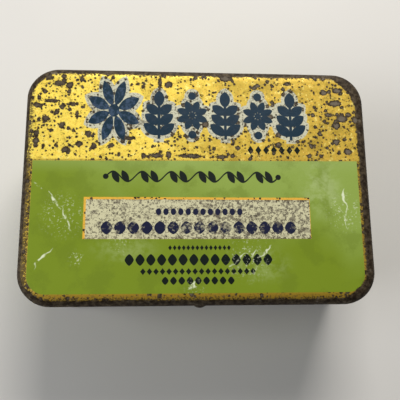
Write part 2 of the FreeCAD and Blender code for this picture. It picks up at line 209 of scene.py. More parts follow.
def shell(name, section, shape, filled, materials):
    """A closed shell of folded sheet swept round the tin.

    filled adds the flat panel in its middle. shape(place, normal, on_left) moves each point,
    where on_left tells the sheet's left face from its right one.
    """
    left, right = section
    rings = ([(1.0, point, True) for point in left]
             + [(1.0, point, False) for point in reversed(right)])
    if filled:
        # rings of the flat panel, from its edge to near its middle
        inwards = [0.96 - 0.06 * step for step in range(16)]
        rings = ([(scale, left[0], True) for scale in reversed(inwards)] + rings
                 + [(scale, right[0], False) for scale in inwards])
    vertices, faces, slots = [], [], []
    for scale, (outwards, up), on_left in rings:
        for base, normal in COLUMNS:
            flat = (base + normal * outwards) * scale
            place = Vector((flat.x, flat.y, up))
            vertices.append(shape(place, normal, on_left))
    count = len(COLUMNS)
    last = len(rings) if not filled else len(rings) - 1
    for ring in range(last):
        after = (ring + 1) % len(rings)
        for column in range(count):
            beside = (column + 1) % count
            faces.append((after * count + column, after * count + beside,
                          ring * count + beside, ring * count + column))
            slots.append(0 if rings[ring][2] and rings[after][2] else 1)
    if filled:
        for ring, slot in ((0, 0), (len(rings) - 1, 1)):
            first = ring * count
            middle = len(vertices)
            vertices.append(sum(vertices[first:first + count], Vector()) / count)
            for column in range(count):
                here, beside = first + column, first + (column + 1) % count
                faces.append((middle, beside, here) if slot == 0 else (middle, here, beside))
                slots.append(slot)
    mesh = bpy.data.meshes.new(name)
    mesh.from_pydata([v * MM for v in vertices], [], faces)
    for polygon, slot in zip(mesh.polygons, slots):
        polygon.material_index = slot
        polygon.use_smooth = True
    mesh.set_sharp_from_angle(angle=math.radians(40))
    for material in materials:
        mesh.materials.append(material)
    piece = bpy.data.objects.new(name, mesh)
    bpy.context.scene.collection.objects.link(piece)
    return piece


def lid_section():
    """From the panel outwards over the bend, down the skirt and up inside it as a hem."""
    panel_edge = 6.0
    return folded((-panel_edge, TOP - SHEET / 2), 0, [
        ("run", panel_edge - LID_BEND),
        ("bend", LID_BEND - SHEET / 2, -90),
        ("run", TOP - SKIRT_EDGE - LID_BEND - SHEET / 2 - LAYER / 2),
        ("bend", LAYER / 2, -180),
        ("run", LID_HEM)])


def body_section():
    """From the hook's tip down and round, up the wall, and inwards round the rim's curl."""
    start = (-BODY_INSET + 2 * LAYER - SHEET / 2, SHEET / 2 + 2 * LAYER + WALL_HOOK)
    return folded(start, 270, [
        ("run", WALL_HOOK),
        ("bend", LAYER, -180),
        ("run", RIM_TOP - RIM_CURL - SHEET / 2 - 2 * LAYER),
        ("bend", RIM_CURL - SHEET / 2, RIM_CURL_TURN)])


def end_section():
    """From the raised panel down its step, across the ledge, and round the seam to the hook."""
    across = 2 * STEP_BEND * math.sin(math.pi / 4)
    up = 2 * STEP_BEND * (1 - math.cos(math.pi / 4))
    wall = -BODY_INSET - SHEET / 2 - LAYER
    return folded((wall - END_BEND - END_LEDGE - across - STEP_BEND, END_DEPTH + up), 0, [
        ("run", STEP_BEND),
        ("bend", STEP_BEND, -45),
        ("bend", STEP_BEND, 45),
        ("run", END_LEDGE),
        ("bend", END_BEND, -90),
        ("run", END_DEPTH - END_BEND - SHEET / 2 - SEAM_BEND),
        ("bend", SEAM_BEND, 90),
        ("run", 4 * LAYER - 2 * SEAM_BEND),
        ("bend", SEAM_BEND, 90),
        ("run", SEAM_TOP - SHEET - SEAM_BEND - LAYER),
        ("bend", LAYER, 180),
        ("run", SEAM_HOOK)])


def lid_shape(place, normal, on_left):
    """Soft dents in the skirt and panel, a shallow crease at the right, and the snap nib."""
    on_panel = place.z > TOP - SHEET - NEAR
    from_edge = min(HALF_LENGTH - abs(place.x), HALF_WIDTH - abs(place.y))
    pushed = dents(Vector((place.x, place.y, TOP if on_panel else place.z)), depth=0.1, size=13.0)
    panel_edge = 2.4
    if on_panel and from_edge > panel_edge:
        middle = min((from_edge - panel_edge) / 8.0, 1.0)
        wave = soft_noise(Vector((place.x, place.y, 0)) / 17.0)
        crease = (math.exp(-((place.x - CREASE[0]) / CREASE_HALF_WIDTH) ** 2)
                  * math.exp(-((place.y - CREASE[1]) / CREASE_HALF_LENGTH) ** 2))
        return place - Vector((0, 0, pushed * 0.6 + 0.22 * wave * middle + CREASE_DEPTH * crease))
    lowered = clamped((place.z - TOP + LID_BEND) / LID_BEND)
    moved = place - normal * (pushed * (1 - lowered)) - Vector((0, 0, pushed * lowered * 0.6))
    above_hem = place.z > SKIRT_EDGE + 2.3
    if above_hem:
        moved += normal * cap(place, *LID_NIB[on_left])
    return moved


def body_shape(place, normal, on_left):
    """Dents in the side walls, the lock seam at the rear, and the catch nib at the front."""
    low, high = SEAM_TOP + 0.5, RIM_TOP - 0.8
    if not low < place.z < high:
        return place
    fade = clamped(min(place.z - low, high - place.z) / 2.0)
    beside_lock = clamped((abs(place.x) - 2.5) / 3.0) if place.y > 0 else 1.0
    moved = place - normal * (dents(place, depth=0.16, size=12.0) * fade * beside_lock)
    if place.y > 0 and LOCK_LOW < place.z < LOCK_HIGH:
        if on_left and abs(place.x) < LOCK_HALF + NEAR:
            moved -= normal * LOCK_DEPTH
        if not on_left and LOCK_HALF - NEAR < place.x < LOCK_HALF + GROOVE_WIDTH + NEAR:
            moved -= normal * GROOVE
    return moved + normal * cap(place, *CATCH_NIB[on_left])


def end_shape(place, normal, on_left):
    """A faint drumming of the bottom panel and small knocks along the seam."""
    inset = min(HALF_LENGTH - abs(place.x), HALF_WIDTH - abs(place.y))
    panel_edge = 6.0
    if inset > panel_edge:
        middle = min((inset - panel_edge) / 6.0, 1.0)
        return place + Vector((0, 0, 0.2 * middle * soft_noise(place / 16.0)))
    if inset < BODY_INSET + SHEET:
        knock = max(0.0, noise.noise(place / 2.4 + Vector((9, 2, 5))) - 0.2) * 0.12
        return place - normal * (knock * keep_off_hinges(place))
    return place


# ---------------------------------------------------------------- arithmetic on shader nodes
class Field:
    """A number that varies over a surface. Arithmetic on it adds nodes to its material."""

    def __init__(self, socket):
        self.socket = socket
        self.tree = socket.id_data

    def math(self, operation, *others):
        node = self.tree.nodes.new("ShaderNodeMath")
        node.operation = operation
        for place, other in enumerate((self, *others)):
            plug(other, node.inputs[place])
        return Field(node.outputs[0])

    def __add__(self, other):
        return self.math("ADD", other)

    def __sub__(self, other):
        return self.math("SUBTRACT", other)

    def __rsub__(self, other):
        return self.math("MULTIPLY_ADD", -1.0, other)

    def __neg__(self):
        return self.math("MULTIPLY", -1.0)

    def __mul__(self, other):
        return self.math("MULTIPLY", other)

    def __truediv__(self, other):
        return self.math("DIVIDE", other)

    def __pow__(self, other):
        return self.math("POWER", other)

    def __mod__(self, other):
        return self.math("FLOORED_MODULO", other)

    def __abs__(self):
        return self.math("ABSOLUTE")

    __radd__, __rmul__ = __add__, __mul__


def plug(source, target):
    """Link a field to a socket, or set the socket's own value."""
    if isinstance(source, Field):
        source.tree.links.new(source.socket, target)
    else:
        target.default_value = source


def lower(first, *others):
    for other in others:
        first = first.math("MINIMUM", other)
    return first


def higher(first, *others):
    for other in others:
        first = first.math("MAXIMUM", other)
    return first


def total(first, *others):
    for other in others:
        first = first + other
    return first


def length_of(x, y):
    return (x * x + y * y).math("SQRT")


def rise(field, start, end):
    """0 before start, 1 after end, smooth between; start may be the larger."""
    node = field.tree.nodes.new("ShaderNodeMapRange")
    node.interpolation_type = "SMOOTHSTEP"
    plug(field, node.inputs["Value"])
    plug(start, node.inputs["From Min"])
    plug(end, node.inputs["From Max"])
    return Field(node.outputs["Result"])


def inside(distance, edge=0.06):
    """1 where a distance to a shape's outline is negative."""
    return rise(distance, edge, -edge)


def mix(factor, first, second):
    """first where factor is 0, second where it is 1; numbers or colours."""
    node = factor.tree.nodes.new("ShaderNodeMix")
    numbers = is_number(first) and is_number(second)
    node.data_type = "FLOAT" if numbers else "RGBA"
    # the node has a set of sockets for each kind of data
    first_input, second_input, result = (2, 3, 0) if numbers else (6, 7, 2)
    plug(factor, node.inputs[0])
    plug(first, node.inputs[first_input])
    plug(second, node.inputs[second_input])
    return Field(node.outputs[result])


def is_number(value):
    if isinstance(value, Field):
        return value.socket.type == "VALUE"
    return isinstance(value, (int, float))


def colour(red, green, blue):
    """An sRGB colour of 0 to 255 as the linear colour that a shader takes."""
    linear = [(c / 255 / 12.92) if c <= 10 else ((c / 255 + 0.055) / 1.055) ** 2.4
              for c in (red, green, blue)]
    return (*linear, 1.0)


class Place:
    """A node tree to draw in, and the point being shaded, in the tin's own millimetres."""

    def __init__(self, tree, point):
        self.tree = tree
        self.point = point
        split = tree.nodes.new("ShaderNodeSeparateXYZ")
        plug(point, split.inputs[0])
        self.x, self.y, self.z = (Field(split.outputs[axis]) for axis in range(3))

    def shifted(self, shift, stretch=(1.0, 1.0, 1.0)):
        """The place, moved so that two textures with different shifts don't repeat each other."""
        node = self.tree.nodes.new("ShaderNodeVectorMath")
        node.operation = "MULTIPLY_ADD"
        plug(self.point, node.inputs[0])
        node.inputs[1].default_value = stretch
        node.inputs[2].default_value = (31.7 * shift, 17.3 * shift, 53.9 * shift)
        return node.outputs[0]

    def noise(self, size, detail=2.0, rough=0.5, shift=0.0, stretch=(1.0, 1.0, 1.0)):
        """Cloudy noise around 0.5 with features about size millimetres across."""
        node = self.tree.nodes.new("ShaderNodeTexNoise")
        self.tree.links.new(self.shifted(shift, stretch), node.inputs["Vector"])
        for name, amount in (("Scale", 1 / size), ("Detail", detail), ("Roughness", rough)):
            node.inputs[name].default_value = amount
        return Field(node.outputs["Fac"])

    def spots(self, size, amount, ragged=0.3, shift=0.0):
        """Distance in millimetres outside blotches, at most one to a cell of size.

        amount, 0 to 1, sets how many there are and how big.
        """
        warp = self.tree.nodes.new("ShaderNodeTexNoise")
        self.tree.links.new(self.shifted(shift + 0.5), warp.inputs["Vector"])
        warp.inputs["Scale"].default_value = 2.6 / size
        warp.inputs["Detail"].default_value = 3.0
        bend = self.tree.nodes.new("ShaderNodeVectorMath")
        bend.operation = "MULTIPLY_ADD"
        self.tree.links.new(warp.outputs["Color"], bend.inputs[0])
        bend.inputs[1].default_value = (ragged * size * 2,) * 3
        self.tree.links.new(self.shifted(shift), bend.inputs[2])
        node = self.tree.nodes.new("ShaderNodeTexVoronoi")
        self.tree.links.new(bend.outputs[0], node.inputs["Vector"])
        node.inputs["Scale"].default_value = 1 / size
        pick = self.tree.nodes.new("ShaderNodeSeparateColor")
        self.tree.links.new(node.outputs["Color"], pick.inputs[0])
        radius = higher(amount - Field(pick.outputs[0]), 0.0) ** 0.5 * 0.55
        return (Field(node.outputs["Distance"]) - radius) * size


class Surface(Place):
    """A new material."""

    def __init__(self, name):
        self.material = bpy.data.materials.new(name)
        self.material.use_nodes = True
        tree = self.material.node_tree
        self.shader = tree.nodes["Principled BSDF"]
        coordinates = tree.nodes.new("ShaderNodeTexCoord")
        scale = tree.nodes.new("ShaderNodeVectorMath")
        scale.operation = "SCALE"
        scale.inputs["Scale"].default_value = 1 / MM
        tree.links.new(coordinates.outputs["Object"], scale.inputs[0])
        super().__init__(tree, Field(scale.outputs[0]))

    def bump(self, height, distance):
        """Tilt the shading by a height field, whose 0 to 1 stands for distance in millimetres."""
        node = self.tree.nodes.new("ShaderNodeBump")
        node.inputs["Distance"].default_value = distance * MM
        plug(height, node.inputs["Height"])
        self.tree.links.new(node.outputs["Normal"], self.shader.inputs["Normal"])

    def finish(self, base, metallic, roughness, gloss=0.5):
        plug(base, self.shader.inputs["Base Color"])
        plug(metallic, self.shader.inputs["Metallic"])
        plug(roughness, self.shader.inputs["Roughness"])
        self.shader.inputs["Specular IOR Level"].default_value = gloss
        return self.material


def pattern(place, build, kind="Float"):
    """Build a field in a node group of its own, which every material that uses it shares."""
    tree = bpy.data.node_groups.get(build.__name__)
    if tree is None:
        tree = bpy.data.node_groups.new(build.__name__, "ShaderNodeTree")
        tree.interface.new_socket("Point", in_out="INPUT", socket_type="NodeSocketVector")
        tree.interface.new_socket("Result", in_out="OUTPUT", socket_type="NodeSocket" + kind)
        entry = tree.nodes.new("NodeGroupInput")
        leave = tree.nodes.new("NodeGroupOutput")
        plug(build(Place(tree, Field(entry.outputs[0]))), leave.inputs[0])
    group = place.tree.nodes.new("ShaderNodeGroup")
    group.node_tree = tree
    plug(place.point, group.inputs[0])
    return Field(group.outputs[0])


# ---------------------------------------------------------------- shapes of the printed artwork
# The artwork is drawn in millimetres from the middle of the lid.
FIELD_HALF = (40.7, 26.8)      # the green field: half its length and width, corner, upper edge
FIELD_CORNER = 4.5
FIELD_TOP = 5.95

# The cream panel and its gold border: left, right, bottom, top.
PANEL = (-27.6, 27.6, -13.75, -4.0)
PANEL_BORDER = (-28.15, 27.7, -13.75, -3.42)

# Rows of beads: left, right, middle, half width, half height, pitch, power.
BLACK_BEADS = (
    (12.2, 26.2, 8.9, 0.78, 1.15, 2.0, 1.0),
    (-7.7, 7.7, -15.9, 0.45, 0.65, 1.1, 1.0),
    (-18.2, 17.9, -18.8, 1.1, 1.4, 2.58, 1.4),
    (-14.4, 13.6, -21.6, 0.66, 0.8, 1.56, 1.0),
    (-9.3, 8.5, -23.8, 0.8, 0.95, 1.98, 1.4))
LARGE_PANEL_BEADS = (-24.1, 24.2, -11.0, 1.42, 1.6, 3.22, 1.6)
SMALL_PANEL_BEADS = (-10.9, 10.9, -7.05, 0.66, 0.85, 1.82, 2.0)

# Scratches on the green: start, end, half width.
RUBS = (
    ((36.5, -0.9), (37.0, -5.5), 0.4), ((37.0, -4.5), (36.4, -11.0), 0.32),
    ((-39.6, -21.0), (-35.2, -15.7), 0.26), ((-36.2, -2.2), (-33.8, -6.4), 0.24),
    ((-33.2, -5.8), (-31.2, -11.8), 0.2), ((-40.2, 0.2), (-38.0, -1.6), 0.3),
    ((6.5, -21.0), (11.0, -17.0), 0.35), ((12.5, -18.3), (13.4, -16.2), 0.3),
    ((14.6, -18.5), (17.4, -15.2), 0.34), ((-2.2, -26.0), (-1.0, -24.0), 0.5))

# Dusty scuffs round them: x, y, outer radius, inner radius.
SCUFFS = (
    (36.8, -7.0, 6.5, 1.0), (12.0, -18.5, 7.0, 1.0), (-29.5, -18.4, 2.6, 0.5),
    (-19.0, -15.0, 3.4, 0.5), (-33.0, -8.0, 7.0, 1.0), (-1.0, -25.5, 3.0, 0.5))

# The larger flakes that have left the gold: x, y, half width, half height.
FLAKES = (
    (-35.2, 26.0, 1.5, 0.8), (-37.0, 21.3, 2.0, 0.5), (-31.6, 20.5, 1.6, 0.5),
    (-40.2, 20.0, 1.1, 0.7), (-38.2, 16.5, 1.0, 0.8), (-30.6, 17.8, 0.5, 1.0),
    (-34.2, 14.8, 0.7, 0.9), (-33.0, 8.6, 1.0, 0.8), (-26.2, 9.4, 0.7, 0.9),
    (-17.7, 11.7, 2.6, 0.5), (-13.8, 7.1, 0.6, 0.8), (-10.6, 7.2, 1.6, 0.7),
    (-7.5, 7.5, 0.8, 0.9), (-2.0, 7.2, 3.0, 0.6), (-7.6, 26.2, 1.0, 0.9),
    (-9.8, 26.6, 0.5, 2.0), (7.2, 28.2, 1.8, 0.9), (33.0, 24.8, 1.0, 0.8),
    (36.6, 25.4, 1.5, 0.8), (35.8, 21.8, 1.8, 0.9), (37.4, 17.6, 1.5, 1.0),
    (34.0, 18.6, 1.1, 0.6), (41.0, 17.2, 1.0, 1.0), (35.5, 11.3, 1.1, 0.8),
    (38.4, 8.7, 1.1, 0.9), (5.8, 7.0, 1.4, 0.6), (23.4, 27.0, 1.1, 0.5),
    (18.2, 17.8, 1.2, 0.8))

INK = {
    # On the lid, gold_bright also colours a painted highlight and green_light a painted sheen
    "gold_bright": colour(252, 224, 92),
    "gold_dull": colour(196, 166, 62),
    "gold_light": colour(255, 240, 140),
    "gold_orange": colour(234, 178, 68),
    "olive": colour(146, 122, 34),
    "amber": colour(158, 128, 38),
    "green": colour(117, 137, 30),
    "green_light": colour(139, 161, 72),
    "green_deep": colour(101, 119, 28),
    # the lid's haze: dulled varnish, and a painted reflection
    "haze_and_sheen": colour(172, 188, 124),
    "navy": colour(0, 38, 56),
    "navy_worn": colour(54, 74, 98),
    "navy_print": colour(20, 24, 52),
    "cream": colour(203, 198, 160),
    "cream_border": colour(226, 172, 60),
    "silver": colour(198, 196, 170),
    "black": colour(8, 20, 12),
    "stain": colour(106, 99, 82),
    "stain_dark": colour(62, 56, 46),
    "rust": colour(84, 72, 54),
    "rust_dark": colour(36, 25, 12),
    "rust_grey": colour(118, 108, 92),
    "rust_stain": colour(134, 92, 56),
    "scuff": colour(226, 232, 200),
}


def outline(x, y, half_x, half_y, corner):
    """Distance outside a rounded rectangle centred on the tin, negative inside."""
    across, along = abs(x) - (half_x - corner), abs(y) - (half_y - corner)
    beyond = length_of(higher(across, 0.0), higher(along, 0.0))
    return beyond + lower(higher(across, along), 0.0) - corner


def bar(x, y, left, right, bottom, top):
    """Distance outside an upright rectangle."""
    return higher(abs(x - (left + right) / 2) - (right - left) / 2,
                  abs(y - (bottom + top) / 2) - (top - bottom) / 2)


def turned(x, y, degrees):
    """The coordinates in a frame turned anticlockwise."""
    c, s = math.cos(math.radians(degrees)), math.sin(math.radians(degrees))
    return x * c + y * s, y * c - x * s


def leaf(x, y, half_width, half_height):
    """Distance outside a pointed leaf that stands along y."""
    radius = (half_width ** 2 + half_height ** 2) / (2 * half_width)
    return length_of(abs(x) + (radius - half_width), y) - radius


def star(x, y, radius, petals, width):
    """Distance outside a ring of pointed petals round a small disc; width is a share of radius."""
    turn = 2 * math.pi / petals
    angle = y.math("ARCTAN2", x) % turn - turn / 2
    reach = length_of(x, y)
    along, across = reach * angle.math("COSINE"), reach * angle.math("SINE")
    petal = leaf(across, along - radius * 0.58, radius * width, radius * 0.42)
    return lower(petal, reach - radius * 0.2)


def sprig(x, y, height, half_width):
    """Distance outside an upright sprig: a stem, three pairs of slanting leaves, one at its tip."""
    step = height / 4.6
    stem_half = 0.36
    stem = bar(x, y, -stem_half, stem_half, -height / 2, height * 0.3)
    shapes = [stem, leaf(x, y - height * 0.34, half_width * 0.33, height * 0.17)]
    for pair in range(3):
        foot = -height * 0.42 + pair * step
        side_x, side_y = turned(abs(x), y - foot, -52)
        long = half_width * (0.6 - 0.05 * pair)
        shapes.append(leaf(side_x, side_y - long, half_width * 0.31, long))
    return lower(*shapes)


def beads(x, y, left, right, middle, half_width, half_height, pitch, power):
    """Distance-like field of a row of beads: lozenges at power 1, ovals at power 2."""
    across = abs((x - left) % pitch - pitch / 2) / half_width
    along = abs(y - middle) / half_height
    bead = (across ** power + along ** power - 1.0) * min(half_width, half_height)
    return higher(bead, bar(x, y, left, right, middle - half_height, middle + half_height))


def vine(x, y, left, right, middle, pitch):
    """Distance outside a waving stem with a leaf in each of its bends and a bud at each end."""
    swing, stem_half, bud = 1.25, 0.24, 0.7
    wave = ((x - left) * (2 * math.pi / pitch)).math("SINE") * swing
    shapes = [higher(abs(y - middle - wave) - stem_half,
                     bar(x, y, left, right, middle - 3, middle + 3))]
    cell = (x - left) % pitch
    for share, way in ((0.25, -1), (0.75, 1)):
        leaf_x, leaf_y = turned(cell - pitch * share, (y - middle) * way + 1.1, 28 * way)
        shapes.append(higher(leaf(leaf_x, leaf_y - 1.3, 0.8, 1.75),
                             bar(x, y, left, right, middle - 4, middle + 4)))
    shapes += [length_of(x - end, y - middle) - bud for end in (left, right)]
    return lower(*shapes)


def streak(x, y, start, end, half_width):
    """Distance outside a straight scratch that tapers to its ends."""
    along_x, along_y = end[0] - start[0], end[1] - start[1]
    square = along_x ** 2 + along_y ** 2
    from_x, from_y = x - start[0], y - start[1]
    share = higher(lower((from_x * along_x + from_y * along_y) / square, 1.0), 0.0)
    away = length_of(from_x - share * along_x, from_y - share * along_y)
    return away - (1.0 - abs(share - 0.5) * 2.0) * half_width


def blob(x, y, middle, half_size, outer, inner):
    """1 in the middle of an ellipse, fading from inner to outer times its half size."""
    return rise(length_of((x - middle[0]) / half_size[0], (y - middle[1]) / half_size[1]),
                outer, inner)


# ---------------------------------------------------------------- patterns that materials share
def on_print(place):
    """Where a point lies on the artwork's own drawing, which is a little larger than the lid."""
    return place.x * PRINT_SCALE + PRINT_SHIFT[0], place.y * PRINT_SCALE + PRINT_SHIFT[1]


def rusty_steel(place):
    """Brown steel where the print has gone: dark, with greyer patches."""
    mottle = rise(place.noise(1.1, 4.0, 0.7, shift=6.0), 0.38, 0.66)
    greyer = rise(place.noise(2.2, 4.0, 0.7, shift=7.0), 0.6, 0.76)
    return mix(greyer, mix(mottle, INK["rust_dark"], INK["rust"]), INK["rust_grey"])


def frieze(place):
    """Distance outside the navy ornament on the gold: a large star and five smaller motifs."""
    x, y = on_print(place)
    shapes = [star(x + 21.4, (y - 19.0) * 0.8, radius=6.9, petals=8, width=0.18)]
    first, pitch, middle = -10.0, 8.45, 18.0
    dot_height, dot_radius = 5.2, 1.05
    for step in range(5):
        across, up = x - (first + step * pitch), y - middle
        if step % 2:
            shapes.append(star(across, up, radius=4.15, petals=8, width=0.23))
            shapes.append(length_of(across, abs(up) - dot_height) - dot_radius)
        else:
            shapes.append(sprig(across, up, height=12.8, half_width=4.1))
    return lower(*shapes)


def black_ornament(place):
    """Distance outside the vine and the rows of small black ornaments."""
    x, y = on_print(place)
    return lower(vine(x, y, left=-23.0, right=20.0, middle=1.8, pitch=7.17),
                 *(beads(x, y, *row) for row in BLACK_BEADS))


def scratches(place):
    """How far scratches and scuffs have whitened the green."""
    x, y = on_print(place)
    wander = place.noise(3.0, 2.0, shift=13.0) - 0.5
    x, y = x + wander * 3.0, y - wander * 1.4
    specks = place.noise(0.5, 2.0, 0.6, shift=12.0)
    broken = rise(place.noise(1.2, 4.0, 0.7, shift=11.0), 0.36, 0.58)
    crisp = inside(lower(*(streak(x, y, *rub) for rub in RUBS)), 0.16) * broken
    around = total(*(rise(length_of(x - left, y - up), outer, inner)
                     for left, up, outer, inner in SCUFFS))
    dusting = lower(around, 1.0) * rise(specks, 0.56, 0.68) * 0.8
    return higher(crisp * 0.9, dusting * 0.6)


def haze_and_sheen(place):
    """Cloudy worn patches where the varnish has dulled, and a painted reflection: a light patch at
    the right and a light band along the top.
    """
    x, y = on_print(place)
    # painted reflection: the light patch at the right
    right = blob(x, y, (31.0, -1.0), (6.0, 8.5), 1.15, 0.3)
    low = blob(x, y, (15.0, -20.0), (8.0, 5.0), 1.2, 0.3) * 0.6
    left = blob(x, y, (-18.0, -16.0), (9.0, 4.0), 1.2, 0.3) * 0.5
    # painted sheen: the top of the green is painted lighter
    upper = rise(y, 2.0, 6.0) * 0.35
    cloudy = rise(place.noise(2.6, 4.0, 0.65, shift=14.0), 0.36, 0.66)
    return lower(higher(right, low, left) * cloudy + upper * 0.6, 1.0)


def chips(place):
    """Distance outside the larger flakes that have left the gold."""
    x, y = on_print(place)
    return lower(*((length_of((x - left) / wide, (y - up) / tall) - 1.0) * min(wide, tall)
                   for left, up, wide, tall in FLAKES))


def gold_pits(place):
    """Distance outside the rust pits in the gold, crowded at both ends of the lid."""
    x, y = on_print(place)
    ends = (blob(x, y, (-37.0, 18.0), (7.0, 9.0), 1.5, 0.3)
            + blob(x, y, (36.0, 17.0), (8.0, 10.0), 1.5, 0.3))
    crowd = 0.45 + ends * 0.14 + (place.noise(5.5, 3.0, shift=5.0) - 0.5) * 1.1
    ragged = (place.noise(0.8, 4.0, 0.75) - 0.5) * 0.62
    return lower(place.spots(2.6, crowd * 0.95, shift=1.0),
                 place.spots(1.5, crowd + 0.12, shift=2.0),
                 place.spots(0.8, crowd + 0.06, shift=4.0, ragged=0.2),
                 pattern(place, chips) + ragged * 1.2) + ragged


# ---------------------------------------------------------------- materials
class Printed(Surface):
    """A new material with the tin's print, and the noises that break it up."""

    def __init__(self, name):
        super().__init__(name)
        self.ragged = self.noise(0.9, 4.0, 0.7) - 0.5
        self.fine = self.noise(0.42, 3.0, 0.7, shift=8.0)
        self.patch = self.noise(5.5, 3.0, shift=5.0)
        self.cloud = self.noise(14.0, 3.0, shift=3.0)

    def gold(self, bright):
        """Orange-flecked gold lacquer, from dull to bright."""
        gold = mix(bright, INK["gold_dull"], INK["gold_bright"])
        return mix(rise(self.fine, 0.5, 0.66) * 0.6, gold, INK["gold_orange"])

    def ink_roughness(self):
        return 0.36 + 0.16 * self.cloud

    def finish_print(self, base, bare, lacquered, roughness, gloss):
        """Print over steel that is etched in, duller and a little metallic where it is bare."""
        etched = self.noise(0.6, 4.0, 0.6, shift=7.0) * bare * 0.8 - bare * 1.3
        self.bump(etched + self.fine * 0.25, 0.05)
        metallic = mix(bare, lacquered * (1.0 - bare) * 0.3, 0.25)
        return self.finish(base, metallic, mix(bare, roughness, 0.66), gloss)


def lid_gold(s, y, bright):
    """Bright and orange-flecked at the left, mustard with olive clouds at the right; bright is a
    painted highlight, strongest at the left.
    """
    fleck = s.noise(1.3, 4.0, 0.8, shift=20.0)
    gold = mix(rise(fleck, 0.56, 0.66) * 0.7, s.gold(bright), INK["gold_light"])
    gold = mix(rise(fleck, 0.46, 0.36) * 0.6, gold, INK["olive"])
    gold = mix(rise(s.patch, 0.46, 0.64) * (1.0 - bright * 0.7) * 0.5, gold, INK["olive"])
    return mix(rise(y, -25.5, -27.2), gold, INK["amber"])


def lid_green(s, x, y):
    """The green ink, darker towards the foot: a painted sheen lightens it towards the top and the
    right. It is hazy where the varnish has dulled, and where a reflection is painted.
    """
    # painted sheen: the green is painted lighter upwards and to the right
    painted_sheen = rise(y + (s.cloud - 0.5) * 22.0 + (x * 0.3), -12.0, 8.0)
    green = mix(painted_sheen, INK["green"], INK["green_light"])
    deeper = rise(s.patch + (s.fine - 0.5) * 0.25, 0.48, 0.66) * 0.4
    return mix(pattern(s, haze_and_sheen) * 0.6, mix(deeper, green, INK["green_deep"]), INK["haze_and_sheen"])


def lid_cream(s, x, y, panel):
    """The cream panel's stained ground, and where its two rows of beads are inked."""
    crowding = (blob(x, y, (14.0, -8.0), (14.0, 6.0), 1.4, 0.2) * 0.04
                + rise(abs(y + 9.0), 3.8, 5.1) * 0.03 + (s.patch - 0.5) * 0.12)
    dots = rise(s.noise(0.62, 3.0, 0.65, shift=15.0) + crowding, 0.515, 0.6)
    smudges = rise(s.noise(2.0, 3.0, 0.6, shift=16.0) + crowding, 0.52, 0.66)
    cream = mix(lower(dots * 0.85 + smudges * 0.55, 1.0), INK["cream"], INK["stain"])
    by_edge = rise(panel, -0.9, -0.1) * rise(x - y, -10.0, 20.0)
    cream = mix(rise(s.fine + by_edge * 0.05, 0.585, 0.63), cream, INK["stain_dark"])

    middle = rise(abs(x - 3.5), 13.0, 5.0)
    rubbed = s.noise(1.6, 4.0, 0.7, shift=18.0) + crowding * 0.6 + middle * 0.06
    large = inside(beads(x, y, *LARGE_PANEL_BEADS) + s.ragged * 0.4)
    large = large * (1.0 - rise(rubbed, 0.54, 0.68) * 0.64)
    return cream, higher(large, inside(beads(x, y, *SMALL_PANEL_BEADS)))


def worn_edge(s, x, y, reach, beside_green, at_foot):
    """Where the lid's bend and skirt are worn through to steel, most along the right."""
    width = 0.55 + 2.15 * rise(x, 34.0, 39.5) + 1.3 * rise(y, 20.0, 26.5) + (s.patch - 0.5) * 0.7
    width = width + rise(x, -35.0, -39.5) * (0.3 + 0.15 * beside_green) + at_foot * 0.55
    worn = rise(reach + s.ragged * 1.4, width + 0.2, width - 0.2)
    kept = s.noise(1.7, 4.0, 0.7, shift=19.0) + rise(reach, -2.6, -5.5) * 0.1
    return worn * (1.0 - rise(kept, 0.56, 0.6) * rise(reach, -1.5, -3.0) * 0.9)


